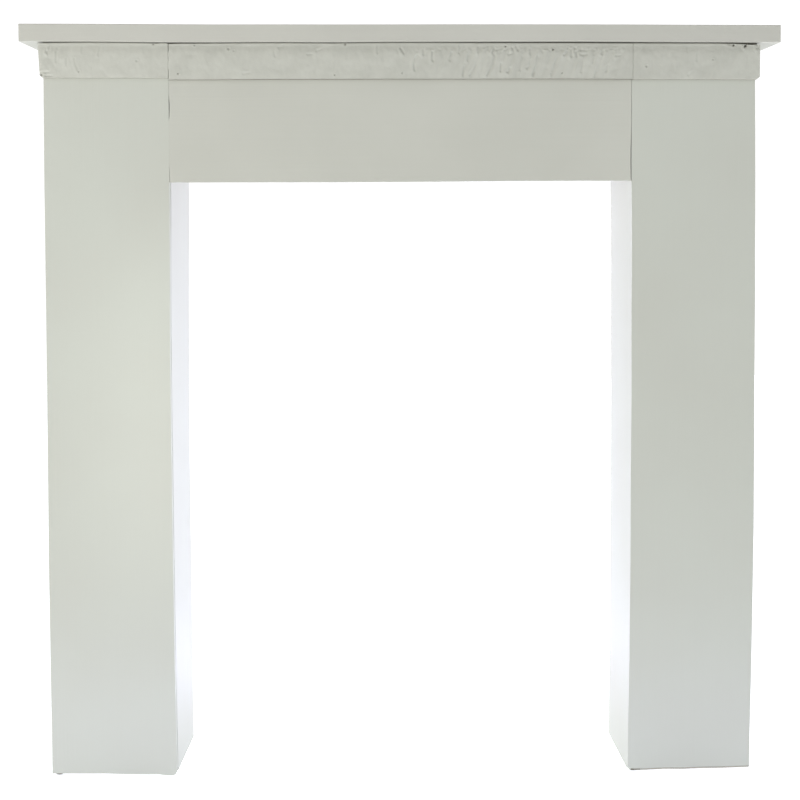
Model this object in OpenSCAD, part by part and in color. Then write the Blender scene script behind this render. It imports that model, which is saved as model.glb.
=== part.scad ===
// Free-standing painted mantelpiece, built up from boards: a shelf, a frieze moulding in three
// lengths, a header panel and two hollow legs that stand on nail-on glides.
// Millimetres, +Z up. The wall side is +Y and the room side is -Y. The origin is on the floor,
// at the middle of the space that the whole piece takes up.

/* [Opening] */
// Clear width between the two legs, at their front edges
opening_w = 705; // [500:1:1000]
// Clear height from the floor to the lower edge of the header panel
opening_h = 916; // [600:1:1100]

/* [Legs] */
// Width of each leg across its face
leg_w = 189; // [90:1:260]
// Depth of each leg, from its face to the wall
leg_d = 250; // [80:1:320]
// Thickness of the boards that the legs and the header panel are made of
board_t = 18; // [9:0.5:25]
// Distance that the left leg runs out of square, to the right, between its face and the wall
left_leg_skew = 9; // [0:0.5:16]
// Height that the outer corner of the right leg's face is cut short of the inner one
right_foot_rise = 3; // [0:0.5:8]
// Width of the open seams at each end of the header panel and of the frieze between the caps
seam_w = 0.5; // [0.2:0.1:0.9]

/* [Header and frieze] */
// Height of the header panel that shows below the frieze moulding
header_face_h = 155; // [60:1:300]
// Height of the frieze moulding
frieze_h = 54; // [20:1:120]
// Distance that the frieze moulding stands proud of the boards behind it
frieze_t = 8; // [3:0.5:16]
// Distance that the frieze moulding runs past the outer side of each leg
frieze_over_end = 4; // [1:0.5:15]
// Size of the corner cut off the lower outer end of each cap of the frieze
frieze_end_cut = 5; // [1:0.5:12]
// Size of the arris taken off the front edges of the frieze moulding
frieze_arris = 0.8; // [0.3:0.1:2]
// Height of the open crack between the frieze moulding and the shelf
crack_h = 2; // [0.5:0.1:4]

/* [Shelf] */
// Thickness of the shelf
shelf_t = 25; // [15:1:50]
// Distance that the shelf stands out in front of the legs
shelf_over_front = 20; // [17:1:80]
// Distance that the shelf runs past the outer side of each leg
shelf_over_end = 31.5; // [16:0.5:100]
// Size of the arris taken off the front edges of the shelf
shelf_arris = 0.8; // [0.3:0.1:2]

/* [Glides] */
// Diameter of the head of a glide
glide_d = 15; // [8:0.5:20]
// Height of the head of a glide, which the legs stand clear of the floor by
glide_h = 5; // [2:0.5:8]
// Distance from the face or the wall edge of a leg to the middle of a glide
glide_inset = 19; // [10:0.5:30]

/* [Hidden] */

// Colours of the paint and of the glides
header_paint = "#BEBFB7";
leg_paint = "#CDCFC7";
shelf_paint = "#C0C0B9";
frieze_paint = "#BDBDB3";
glide_steel = "#4A4845";

// Heights above the floor
leg_bottom = glide_h;
frieze_bottom = opening_h + header_face_h;
frieze_top = frieze_bottom + frieze_h;
shelf_bottom = frieze_top + crack_h;
leg_h = shelf_bottom - leg_bottom;
header_h = shelf_bottom - opening_h;

// Places along Y: the face of the legs, the back of their front boards and the wall edge
total_d = leg_d + shelf_over_front;
face_y = shelf_over_front - total_d / 2;
board_back_y = face_y + board_t;
wall_y = face_y + leg_d;
shelf_front_y = face_y - shelf_over_front;

// Places along X, to the right of the middle
inner_x = opening_w / 2;
outer_x = inner_x + leg_w;
shelf_end_x = outer_x + shelf_over_end;
cap_end_x = outer_x + frieze_over_end;
left = -1;
right = 1;

// Shift to the right that the left leg has at a given y
function skew_at(y) = left_leg_skew * (y - face_y) / leg_d;

// Sides of the round that a glide's head is turned to
glide_facets = 48;

// Board with an outline drawn in plan, X to the right and Y to the wall
module plan_board(outline, z, height)
    translate([0, 0, z]) linear_extrude(height) polygon(outline);

// Board with an outline drawn as seen from the front, X to the right and Z up,
// whose front is at y
module face_board(outline, y, thickness)
    translate([0, y + thickness, 0]) rotate([90, 0, 0]) linear_extrude(thickness) polygon(outline);

// Strip with a section drawn from the side, Y to the wall and Z up, laid from x to x + length
module section_strip(section, x, length)
    translate([x, 0, 0]) rotate([90, 0, 90]) linear_extrude(length) polygon(section);

// Section of a board whose two front edges lose a small arris
function arris_section(front, back, bottom, top, arris) =
    [[back, bottom], [front + arris, bottom], [front, bottom + arris],
     [front, top - arris], [front + arris, top], [back, top]];

// Outline, in plan, of the shelf: its left end is cut parallel to the skewed leg
shelf_skew = left_leg_skew * total_d / leg_d;
function shelf_plan() =
    [[-shelf_end_x, shelf_front_y], [shelf_end_x, shelf_front_y],
     [shelf_end_x, wall_y], [-shelf_end_x + shelf_skew, wall_y]];

module mantel_shelf()
    color(shelf_paint)
        intersection() {
            plan_board(shelf_plan(), shelf_bottom, shelf_t);
            section_strip(arris_section(shelf_front_y, wall_y, shelf_bottom, shelf_bottom + shelf_t,
                                        shelf_arris),
                          -shelf_end_x, 2 * shelf_end_x);
        }

function frieze_section() =
    arris_section(face_y - frieze_t, face_y, frieze_bottom, frieze_top, frieze_arris);

// Cap of the frieze over one leg: its lower outer corner is cut off
module frieze_cap(side) {
    outline = [[inner_x, frieze_bottom], [cap_end_x - frieze_end_cut, frieze_bottom],
               [cap_end_x, frieze_bottom + frieze_end_cut], [cap_end_x, frieze_top],
               [inner_x, frieze_top]];
    color(frieze_paint)
        intersection() {
            face_board([for (point = outline) [side * point[0], point[1]]], face_y - frieze_t,
                       frieze_t);
            section_strip(frieze_section(), side == left ? -cap_end_x : inner_x,
                          cap_end_x - inner_x);
        }
}

module frieze_centre()
    color(frieze_paint)
        section_strip(frieze_section(), -inner_x + seam_w, opening_w - 2 * seam_w);

module header_panel()
    color(header_paint)
        translate([-inner_x + seam_w, face_y, opening_h])
            cube([opening_w - 2 * seam_w, board_t, header_h]);

// Front board of a leg, whose lower edge rises towards its outer corner
module leg_front(side, foot_rise) {
    outline = [[inner_x, leg_bottom], [outer_x, leg_bottom + foot_rise],
               [outer_x, shelf_bottom], [inner_x, shelf_bottom]];
    color(leg_paint)
        face_board([for (point = outline) [side * point[0], point[1]]], face_y, board_t);
}

// Side board of a leg, behind its front board, from face_x one board thickness towards +X;
// skew moves its wall edge towards +X
module leg_return(face_x, skew) {
    front_shift = skew * board_t / leg_d;
    color(leg_paint)
        plan_board([[face_x + front_shift, board_back_y],
                    [face_x + board_t + front_shift, board_back_y],
                    [face_x + board_t + skew, wall_y],
                    [face_x + skew, wall_y]],
                   leg_bottom, leg_h);
}

// Domed head of a nail-on glide, flat where it meets the end of the leg
module glide(x, y) {
    // radius of the ball that has a cap of this diameter and height
    ball_r = (pow(glide_d / 2, 2) + pow(glide_h, 2)) / (2 * glide_h);
    color(glide_steel)
        translate([x, y, 0])
            rotate_extrude($fn = glide_facets)
                intersection() {
                    translate([0, ball_r]) circle(r = ball_r, $fn = 2 * glide_facets);
                    square([glide_d, glide_h]);
                }
}

// Middle of a return's thickness at a given y, where its glides are driven in; the right
// leg's outer front glide is lost
function return_mid_x(face_x, y, skewed) = face_x + board_t / 2 + (skewed ? skew_at(y) : 0);

front_glide_y = face_y + glide_inset;
back_glide_y = wall_y - glide_inset;
left_outer_x = -outer_x;
left_inner_x = -inner_x - board_t;
right_inner_x = inner_x;
right_outer_x = outer_x - board_t;

mantel_shelf();
frieze_cap(left);  // frieze_cap_left
frieze_centre();
frieze_cap(right);  // frieze_cap_right
header_panel();
leg_front(left, 0);  // left_leg_front
leg_return(left_outer_x, left_leg_skew);  // left_leg_outer_return
leg_return(left_inner_x, left_leg_skew);  // left_leg_inner_return
leg_front(right, right_foot_rise);  // right_leg_front
leg_return(right_outer_x, 0);  // right_leg_outer_return
leg_return(right_inner_x, 0);  // right_leg_inner_return
glide(return_mid_x(left_outer_x, front_glide_y, true), front_glide_y);  // left_outer_front_glide
glide(return_mid_x(left_outer_x, back_glide_y, true), back_glide_y);  // left_outer_back_glide
glide(return_mid_x(left_inner_x, front_glide_y, true), front_glide_y);  // left_inner_front_glide
glide(return_mid_x(left_inner_x, back_glide_y, true), back_glide_y);  // left_inner_back_glide
glide(return_mid_x(right_inner_x, front_glide_y, false), front_glide_y);  // right_inner_front_glide
glide(return_mid_x(right_inner_x, back_glide_y, false), back_glide_y);  // right_inner_back_glide
glide(return_mid_x(right_outer_x, back_glide_y, false), back_glide_y);  // right_outer_back_glide
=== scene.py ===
# %% [markdown]
# # A painted mantelpiece, finished around its CAD frame
#
# The real thing is a box of boards under many coats of off-white paint: a shelf, a frieze
# moulding in three lengths, a header panel and two hollow legs. The CAD model already holds each
# board at its real size and place. This lesson loads that model as a fixed frame, then makes each
# board again with what years of use leave on it: soft arrises, open seams, chips and a moulding
# clogged with paint.

# %% The fixed frame
import math

import bmesh
import bpy
from mathutils import Matrix, Vector, noise


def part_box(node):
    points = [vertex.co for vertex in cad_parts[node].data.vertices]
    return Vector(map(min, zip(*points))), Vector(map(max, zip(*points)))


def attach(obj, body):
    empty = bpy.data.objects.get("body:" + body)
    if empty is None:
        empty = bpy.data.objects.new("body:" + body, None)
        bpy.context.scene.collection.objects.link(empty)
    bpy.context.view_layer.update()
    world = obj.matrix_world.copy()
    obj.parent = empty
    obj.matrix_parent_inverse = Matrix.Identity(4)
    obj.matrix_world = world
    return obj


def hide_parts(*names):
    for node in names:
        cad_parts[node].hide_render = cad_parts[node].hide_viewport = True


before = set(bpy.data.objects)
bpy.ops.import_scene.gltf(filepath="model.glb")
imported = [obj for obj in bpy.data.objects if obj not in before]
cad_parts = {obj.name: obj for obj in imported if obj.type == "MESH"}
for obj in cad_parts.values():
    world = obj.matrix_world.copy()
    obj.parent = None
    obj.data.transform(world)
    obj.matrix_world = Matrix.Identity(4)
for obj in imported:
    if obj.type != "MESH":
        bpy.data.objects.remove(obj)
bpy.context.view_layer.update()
MM = 0.001

# %% [markdown]
# ## Where the boards are
#
# The boards' places are read from the frame, so that each finished board covers its own CAD node.
# The face of the legs and of the header lies in one plane, and the shelf and the frieze stand
# proud of it. What time has done to this one mantelpiece, its bends, dips, open joints and marks,
# comes later as short lists in millimetres, measured from the floor and from the middle.

# %% Places read from the frame
shelf_low, shelf_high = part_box("mantel_shelf")
header_low, header_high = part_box("header_panel")
frieze_low, frieze_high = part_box("frieze_centre")
leg_low, leg_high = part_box("left_leg_front")
face_y = header_low.y
wall_y = shelf_high.y
board_t = header_high.y - header_low.y
print(f"legs' face at y = {face_y / MM:.1f} mm, boards {board_t / MM:.1f} mm thick")

# %% [markdown]
# ## The camera
#
# A long lens about three and a half metres away keeps the uprights nearly parallel. The camera
# stands a little left of the middle, below the shelf and above the middle of the legs, so it sees
# both inner returns and a sliver of the shelf's underside at each end. It is tipped down slightly,
# which is why the legs draw together towards the floor.

# %% Camera
camera_data = bpy.data.cameras.new("Camera")
camera_data.sensor_width = 36.0
camera_data.lens = 98.5
camera = bpy.data.objects.new("Camera", camera_data)
camera.location = (-0.085, -3.456, 0.848)
tip_down, roll, turn_right = 0.0789, 0.0014, 0.0249  # radians
camera.rotation_euler = (math.pi / 2 - tip_down, roll, -turn_right)
bpy.context.scene.collection.objects.link(camera)
bpy.context.scene.camera = camera
bpy.context.scene.view_settings.view_transform = "Standard"
print(f"camera {camera.location.y:.2f} m in front, {camera_data.lens:.0f} mm lens")

# %% [markdown]
# ## Colours and nodes
#
# Paint charts give colours as sRGB hex codes, and shaders want linear light, so one function
# turns one into the other. A second small function adds a node with its settings, and links or
# sets its inputs in the same call.

# %% Helpers for colours and nodes
def linear_colour(code):
    """sRGB hex code, such as "#C8CAC2", as a linear RGBA colour."""
    parts = [int(code[i:i + 2], 16) / 255 for i in (1, 3, 5)]
    return [p / 12.92 if p <= 0.04045 else ((p + 0.055) / 1.055) ** 2.4 for p in parts] + [1.0]


def add_node(tree, kind, inputs=None, **settings):
    """A new node: settings are its properties, and inputs are values or sockets to link from."""
    node = tree.nodes.new(kind)
    for name, value in settings.items():
        setattr(node, name, value)
    for name, value in (inputs or {}).items():
        if isinstance(value, bpy.types.NodeSocket):
            tree.links.new(value, node.inputs[name])
        else:
            node.inputs[name].default_value = value
    return node


def new_material(name):
    """An empty node material and its tree."""
    material = bpy.data.materials.new(name)
    material.use_nodes = True
    material.node_tree.nodes.clear()
    return material, material.node_tree


print(f"the mid grey #808080 is {linear_colour('#808080')[0]:.3f} in linear light")

# %% [markdown]
# ## Floor
#
# The mantelpiece stands on a sheet of white studio paper. It glows a little, like paper lit from
# below, so that it stays white right up to the legs and throws some light back at them. To the eye
# it is a matt white with no edge, because it reaches far past the view.

# %% Floor
FLOOR_REACH, FLOOR_GLOW = 9.0, 0.75
floor_white, tree = new_material("lit white floor")
surface = add_node(tree, "ShaderNodeBsdfPrincipled",
                   {"Base Color": linear_colour("#F6F6F5"), "Roughness": 0.9,
                    "Specular IOR Level": 0.1, "Emission Color": linear_colour("#F4F8FF"),
                    "Emission Strength": FLOOR_GLOW})
add_node(tree, "ShaderNodeOutputMaterial", {"Surface": surface.outputs["BSDF"]})

shape = bmesh.new()
bmesh.ops.create_grid(shape, x_segments=1, y_segments=1, size=FLOOR_REACH)
mesh = bpy.data.meshes.new("studio_floor")
shape.to_mesh(mesh)
shape.free()
mesh.materials.append(floor_white)
sheet = bpy.data.objects.new("studio_floor", mesh)
bpy.context.scene.collection.objects.link(sheet)
print(f"floor {2 * FLOOR_REACH:.0f} m across")

# %% [markdown]
# ## Surround
#
# The world stands in for the room. It is bright behind the piece and dim on the camera's side, so
# the light that comes through the opening brightens the inner sides of the legs and the front
# isn't flooded. Where the camera looks straight at it, it is always the bright white, which keeps
# the backdrop clean from every side.

# %% Surround
FRONT_GLOW, BACK_GLOW = 0.29, 1.1
world = bpy.data.worlds.new("white surround")
bpy.context.scene.world = world
world.use_nodes = True
world.node_tree.nodes.clear()
direction = add_node(world.node_tree, "ShaderNodeTexCoord").outputs["Generated"]
axes = add_node(world.node_tree, "ShaderNodeSeparateXYZ", {"Vector": direction})
glow = add_node(world.node_tree, "ShaderNodeMapRange",
                {"Value": axes.outputs["Y"], "From Min": -0.7, "From Max": 0.5,
                 "To Min": FRONT_GLOW, "To Max": BACK_GLOW}, interpolation_type="SMOOTHSTEP")
seen = add_node(world.node_tree, "ShaderNodeLightPath").outputs["Is Camera Ray"]
backdrop = add_node(world.node_tree, "ShaderNodeMath", {0: seen, 1: BACK_GLOW},
                    operation="MULTIPLY")
strength = add_node(world.node_tree, "ShaderNodeMath",
                    {0: glow.outputs["Result"], 1: backdrop.outputs["Value"]},
                    operation="MAXIMUM")
surround = add_node(world.node_tree, "ShaderNodeBackground",
                    {"Color": (1.0, 1.0, 1.0, 1.0), "Strength": strength.outputs["Value"]})
add_node(world.node_tree, "ShaderNodeOutputWorld", {"Surface": surround.outputs["Background"]})
print(f"surround glows {BACK_GLOW} behind the piece and {FRONT_GLOW} before it")

# %% [markdown]
# ## Lamps
#
# A softbox at mid-height on the left is the main light: light from one side is what makes shallow
# relief readable. Two tall lamps stand behind the opening, each aimed at the inner side of the
# leg across from it, and a low strip lifts the foot of both. A weak fill high on the right
# opens the shadow at that end of the shelf, and a cool strip near the floor makes up for the light
# that white paper throws on the feet. A narrow spot, stretched to a tall ellipse, lifts the
# middle of the left leg, where the softbox alone would leave it flat.

# %% Lamps
# name, place and target in metres, width and height in metres, watts, colour
SOFT_LAMPS = [
    ("softbox on the left", (-2.5, -2.7, 1.0), (0.0, 0.0, 0.6), 0.9, 0.9, 38.0, "#FFFBF5"),
    ("lamp for the left return", (0.28, 0.95, 0.45), (-0.35, 0.0, 0.45), 0.4, 1.2, 6.2, "#DDDCFF"),
    ("lamp for the right return", (-0.28, 0.95, 0.45), (0.35, 0.0, 0.45), 0.4, 1.2, 0.3,
     "#DDDCFF"),
    ("low strip for both returns", (0.0, 0.5, 0.06), (0.0, 0.0, 0.06), 0.3, 0.1, 0.5, "#DDDCFF"),
    ("fill high on the right", (1.5, -1.7, 1.9), (0.45, 0.0, 1.05), 0.8, 0.8, 2.8, "#F4F4FF"),
    ("strip near the floor", (0.12, -0.36, 0.025), (0.12, 0.0, 0.025), 1.7, 0.08, 0.68, "#CCD0FF"),
]


def hang_lamp(data, place, target):
    """Hang a lamp at a place, aimed at a target."""
    lamp = bpy.data.objects.new(data.name, data)
    lamp.location = place
    lamp.rotation_euler = (Vector(target) - Vector(place)).to_track_quat("-Z", "Y").to_euler()
    bpy.context.scene.collection.objects.link(lamp)
    return lamp


for name, place, target, width, height, watts, colour in SOFT_LAMPS:
    data = bpy.data.lights.new(name, "AREA")
    data.shape = "RECTANGLE"
    data.size, data.size_y = width, height
    data.energy = watts
    data.color = linear_colour(colour)[:3]
    hang_lamp(data, place, target).visible_camera = False

spot = bpy.data.lights.new("narrow spot", "SPOT")
spot.energy = 60.0
spot.spot_size = math.radians(6.0)
spot.spot_blend = 1.0
spot.shadow_soft_size = 0.1
hang_lamp(spot, (0.9, -2.4, 0.5), (-0.375, -0.115, 0.57)).scale = (1.0, 2.8, 1.0)

# %% [markdown]
# ## The paint
#
# Eggshell oil paint, brushed on by hand. It has a low sheen and an even colour, but each coat is
# laid off along the board, which leaves fine parallel ridges, and the years leave broad patches
# that are a little yellower or greyer. A noise stretched along the board makes the brush marks,
# and a wide noise makes the patches. Real bristle marks are under 1 mm apart and would not show
# from here, so they are drawn about 4 mm apart.
#
# Painted shade darkens the paint under and behind ledges and towards the frieze's right end, and
# on the frieze dust and painted shade gather in the hollows. An image could mark where, but a
# value at each vertex is simpler and goes with the shape: the boards carry an attribute for it,
# from 0 to 1, and every paint here reads it.

# %% Eggshell paint
# The dark colour that painted shade, and dust in the frieze's hollows, mix into the paint
SHADE_AND_DUST_COLOUR = "#57534A"
BRISTLES_APART, STROKE_LENGTH, PATCH_WIDTH = 4 * MM, 260 * MM, 170 * MM
STREAK_SHARE, RIDGE_HEIGHT = 0.4, 0.4 * MM


# To the eye: a soft, low sheen, faint streaks along each board, and slow shifts in its off-white.
def eggshell_paint(name, clean, dulled, brushed_along):
    """Hand-brushed eggshell paint, laid off along "X" or "Z", darkened by the board's painted
    shade.
    """
    material, tree = new_material(name)
    place = add_node(tree, "ShaderNodeTexCoord").outputs["Object"]
    across, along = 1 / BRISTLES_APART, 1 / STROKE_LENGTH
    scale = (along, across, across) if brushed_along == "X" else (across, across, along)
    laid_off = add_node(tree, "ShaderNodeMapping", {"Vector": place, "Scale": scale})
    bristles = add_node(tree, "ShaderNodeTexNoise",
                        {"Vector": laid_off.outputs["Vector"], "Scale": 1.0, "Detail": 3.0})
    patches = add_node(tree, "ShaderNodeTexNoise",
                       {"Vector": place, "Scale": 1 / PATCH_WIDTH, "Detail": 2.0,
                        "Roughness": 0.45})
    dulling = add_node(tree, "ShaderNodeMapRange",
                       {"Value": patches.outputs["Fac"], "From Min": 0.3, "From Max": 0.7})
    streaked = add_node(tree, "ShaderNodeMath",
                        {0: bristles.outputs["Fac"], 1: STREAK_SHARE,
                         2: dulling.outputs["Result"]}, operation="MULTIPLY_ADD")
    amount = add_node(tree, "ShaderNodeMath",
                      {0: streaked.outputs["Value"], 1: STREAK_SHARE / 2},
                      operation="SUBTRACT", use_clamp=True)
    tone = add_node(tree, "ShaderNodeMix",
                    {"Factor": amount.outputs["Value"], "A": linear_colour(clean),
                     "B": linear_colour(dulled)}, data_type="RGBA")
    # Painted shade: the paint is mixed towards the dark colour wherever the board's attribute says
    held = add_node(tree, "ShaderNodeAttribute", attribute_name="dust_and_shade")
    dusted_and_shaded = add_node(tree, "ShaderNodeMix",
                      {"Factor": held.outputs["Fac"], "A": tone.outputs["Result"],
                       "B": linear_colour(SHADE_AND_DUST_COLOUR)}, data_type="RGBA")
    ridges = add_node(tree, "ShaderNodeBump",
                      {"Height": bristles.outputs["Fac"], "Strength": 0.35,
                       "Distance": RIDGE_HEIGHT})
    surface = add_node(tree, "ShaderNodeBsdfPrincipled",
                       {"Base Color": dusted_and_shaded.outputs["Result"], "Roughness": 0.5, "IOR": 1.48,
                        "Normal": ridges.outputs["Normal"]})
    add_node(tree, "ShaderNodeOutputMaterial", {"Surface": surface.outputs["BSDF"]})
    return material


leg_paint = eggshell_paint("eggshell paint on the legs", "#BDC0B6", "#BBBDB3", "Z")
header_paint = eggshell_paint("eggshell paint on the header", "#BEBFB5", "#B9BAB0", "X")
shelf_paint = eggshell_paint("eggshell paint on the shelf", "#BDBDB4", "#B8B8AF", "X")
print("paints mixed:", leg_paint.name, "|", header_paint.name, "|", shelf_paint.name)

# %% [markdown]
# ## Bare timber
#
# Nobody paints the inside of a mantelpiece. The faces that look into the hollow legs and at the
# chimney breast are planed softwood that has gone a little grey-brown. A board is a slice through
# the rings round the heart of a tree, so a wave in rings about 7 mm apart, centred on a heart
# inside the leg, gives each face its own figure: near-straight lines on some boards and broad
# arches on others. The rings wander every 25 mm or so along the board, as real ones do.

# %% Planed softwood
RING_WIDTH, WANDER_LENGTH, STAIN_WIDTH = 7 * MM, 25 * MM, 140 * MM


# To the eye: dull, warm grey-brown wood with darker growth lines, and greyer stains of damp.
def planed_softwood(name, grain_along, heart):
    """Unpainted planed softwood, with its grain along "X" or "Z" and its rings round heart."""
    material, tree = new_material(name)
    place = add_node(tree, "ShaderNodeTexCoord").outputs["Object"]
    ring, length = 1 / RING_WIDTH, 1 / WANDER_LENGTH
    scale = (length, ring, ring) if grain_along == "X" else (ring, ring, length)
    centring = [-size * middle for size, middle in zip(scale, heart)]
    board = add_node(tree, "ShaderNodeMapping",
                     {"Vector": place, "Location": centring, "Scale": scale})
    rings = add_node(tree, "ShaderNodeTexWave",
                     {"Vector": board.outputs["Vector"], "Scale": 0.3, "Distortion": 9.0,
                      "Detail": 2.0, "Detail Scale": 0.16},
                     wave_type="RINGS", rings_direction=grain_along, wave_profile="SAW")
    fade = add_node(tree, "ShaderNodeTexNoise",
                    {"Vector": board.outputs["Vector"], "Scale": 0.2, "Detail": 2.0})
    grain = add_node(tree, "ShaderNodeMath",
                     {0: rings.outputs["Fac"], 1: fade.outputs["Fac"]}, operation="MULTIPLY")
    figure = add_node(tree, "ShaderNodeMix",
                      {"Factor": grain.outputs["Value"], "A": linear_colour("#B4A68C"),
                       "B": linear_colour("#8E7958")}, data_type="RGBA")
    damp = add_node(tree, "ShaderNodeTexNoise",
                    {"Vector": place, "Scale": 1 / STAIN_WIDTH, "Detail": 4.0})
    greyed = add_node(tree, "ShaderNodeMapRange",
                      {"Value": damp.outputs["Fac"], "From Min": 0.45, "From Max": 0.75,
                       "To Max": 0.6})
    tone = add_node(tree, "ShaderNodeMix",
                    {"Factor": greyed.outputs["Result"], "A": figure.outputs["Result"],
                     "B": linear_colour("#857A6A")}, data_type="RGBA")
    surface = add_node(tree, "ShaderNodeBsdfPrincipled",
                       {"Base Color": tone.outputs["Result"], "Roughness": 0.75, "IOR": 1.5})
    add_node(tree, "ShaderNodeOutputMaterial", {"Surface": surface.outputs["BSDF"]})
    return material


leg_middle = (leg_low.x + leg_high.x) / 2
left_heart, right_heart = (leg_middle, -40 * MM, 0.0), (-leg_middle, -40 * MM, 0.0)
header_heart = (0.0, -30 * MM, 1040 * MM)
left_softwood = planed_softwood("planed softwood of the left leg", "Z", left_heart)
right_softwood = planed_softwood("planed softwood of the right leg", "Z", right_heart)
level_softwood = planed_softwood("planed softwood, level boards", "X", header_heart)
print(f"hearts {leg_middle / MM:.0f} and {-leg_middle / MM:.0f} mm along, inside the legs")

# %% [markdown]
# ## Painted shade in joints and under ledges
#
# The open joints and ledges get the other finish: painted shade, the darkest thing on the piece.
# It comes in three strengths: darkest in the header's end joints, a middle one behind and under
# the frieze, and a faint one under the caps of the frieze and the foot of the right leg.

# %% Painted shade in joints and under ledges
LUMP_WIDTH = 5 * MM


# To the eye: no shine at all, and a tone that changes every few millimetres.
def shade_sheet(name, dark, light):
    """Painted shade for a joint and under a ledge, a flat dark finish between two tones."""
    material, tree = new_material(name)
    place = add_node(tree, "ShaderNodeTexCoord").outputs["Object"]
    lumps = add_node(tree, "ShaderNodeTexNoise",
                     {"Vector": place, "Scale": 1 / LUMP_WIDTH, "Detail": 3.0})
    tone = add_node(tree, "ShaderNodeMix",
                    {"Factor": lumps.outputs["Fac"], "A": linear_colour(dark),
                     "B": linear_colour(light)}, data_type="RGBA")
    surface = add_node(tree, "ShaderNodeBsdfPrincipled",
                       {"Base Color": tone.outputs["Result"], "Roughness": 1.0,
                        "Specular IOR Level": 0.1})
    add_node(tree, "ShaderNodeOutputMaterial", {"Surface": surface.outputs["BSDF"]})
    return material


joint_shade = shade_sheet("painted shade in the joints", "#1E1C19", "#5E5A50")
ledge_shade = shade_sheet("painted shade behind and under ledges", "#5A564C", "#8A8679")
faint_shade = shade_sheet("faint painted shade under ledges", "#89867C", "#A6A399")
print("three strengths of painted shade ready")

# %% [markdown]
# ## Making a board again
#
# A CAD node arrives as loose triangles. A copy of it is merged, and its flat faces are joined
# again, which gives a clean six-sided board to work on. Its arrises are then bevelled, since no
# painted edge is knife-sharp, and it is cut across into short lengths, so that a gentle noise can
# bend and wear it. Bevelling comes before cutting, because a bevel is cleanest on a simple shape.

# %% A clean copy and its arrises
def merged_copy(node):
    """A bmesh copy of a CAD node, with its loose triangles merged into whole faces."""
    shape = bmesh.new()
    shape.from_mesh(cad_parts[node].data)
    bmesh.ops.remove_doubles(shape, verts=shape.verts[:], dist=0.005 * MM)
    bmesh.ops.dissolve_limit(shape, angle_limit=math.radians(0.5), verts=shape.verts[:],
                             edges=shape.edges[:])
    return shape


def sharp_edges(shape, above=-math.inf, below=math.inf):
    """The edges that turn by more than 60 degrees, with their middles between two heights."""
    return [edge for edge in shape.edges if edge.calc_face_angle() > math.radians(60)
            and above < (edge.verts[0].co.z + edge.verts[1].co.z) / 2 < below]


def soften(shape, edges, width, segments=2):
    """Round off these edges to a width."""
    bmesh.ops.bevel(shape, geom=edges, offset=width, offset_type="OFFSET", segments=segments,
                    profile=0.5, affect="EDGES", material=-1, clamp_overlap=True)


sample = merged_copy("mantel_shelf")
print(f"the shelf's copy has {len(sample.faces)} faces and {len(sharp_edges(sample))} arrises")
sample.free()


# %% Cuts and wear
def cut_at(shape, axis, place):
    """Cut the whole shape with a plane across an axis (0, 1 or 2 for X, Y or Z)."""
    point = Vector((0.0, 0.0, 0.0))
    point[axis] = place
    direction = Vector((0.0, 0.0, 0.0))
    direction[axis] = 1.0
    bmesh.ops.bisect_plane(shape, geom=shape.verts[:] + shape.edges[:] + shape.faces[:],
                           dist=0.001 * MM, plane_co=point, plane_no=direction)


def cut_into_lengths(shape, axis, step):
    """Cut the shape across an axis every step or so."""
    low = min(vertex.co[axis] for vertex in shape.verts)
    high = max(vertex.co[axis] for vertex in shape.verts)
    count = round((high - low) / step)
    for i in range(1, count):
        cut_at(shape, axis, low + (high - low) * i / count)


def weather(shape, amount, spacing, seed):
    """Wear each vertex back by up to amount, in a noise with this spacing."""
    offset = Vector((seed, 2.0 * seed, 3.0 * seed))
    shape.normal_update()
    for vertex in shape.verts:
        wear = 0.5 + 0.5 * noise.noise(vertex.co / spacing + offset)
        vertex.co -= vertex.normal * amount * wear


sample = merged_copy("mantel_shelf")
cut_into_lengths(sample, axis=0, step=100 * MM)
print(f"cut every 100 mm or so, it has {len(sample.faces)} faces")
sample.free()

# %% [markdown]
# ## From a shape to a piece
#
# Every board carries its materials in the same slots, so a face only needs a slot's number: its
# paint, bare timber, painted shade, and one more strength of painted shade, dark in the header's
# joints and faint at the right leg's foot. The piece then rides on the CAD's body, which is what
# carries it if the model is moved.

# %% Slots and pieces
PAINTED, BARE, SHADE_SLOT, SECOND_SHADE = range(4)


def add_piece(shape, name, node, slot, *materials):
    """A piece from a bmesh, which rides on the root body and stands for a CAD node."""
    mesh = bpy.data.meshes.new(name)
    shape.to_mesh(mesh)
    shape.free()
    for material in materials:
        mesh.materials.append(material)
    piece = bpy.data.objects.new(name, mesh)
    bpy.context.scene.collection.objects.link(piece)
    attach(piece, "root")
    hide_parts(node)
    print(f"{name}: {len(mesh.polygons)} faces")
    return piece


# %% [markdown]
# ## Values along an edge
#
# Old boards are never quite straight. A noise would bend them at random, but these bends belong
# to this mantelpiece, so each is written as a short list of stops: a place along the edge and how
# far the edge is out there, both in mm, with a straight run from each stop to the next.

# %% Between two stops
def between(stops, place):
    """The value at a place, on straight runs between (place, value) stops in rising order."""
    if place <= stops[0][0]:
        return stops[0][1]
    for (start, first), (end, last) in zip(stops, stops[1:]):
        if place <= end:
            return first + (last - first) * (place - start) / (end - start)
    return stops[-1][1]


def nearness(place, end, reach):
    """From 1 at an end to 0 at reach from it."""
    return max(0.0, 1.0 - abs(place - end) / reach)


print("halfway between stops 0 and 4 mm:", between([(0, 0.0), (100, 4.0)], 50), "mm")
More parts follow.
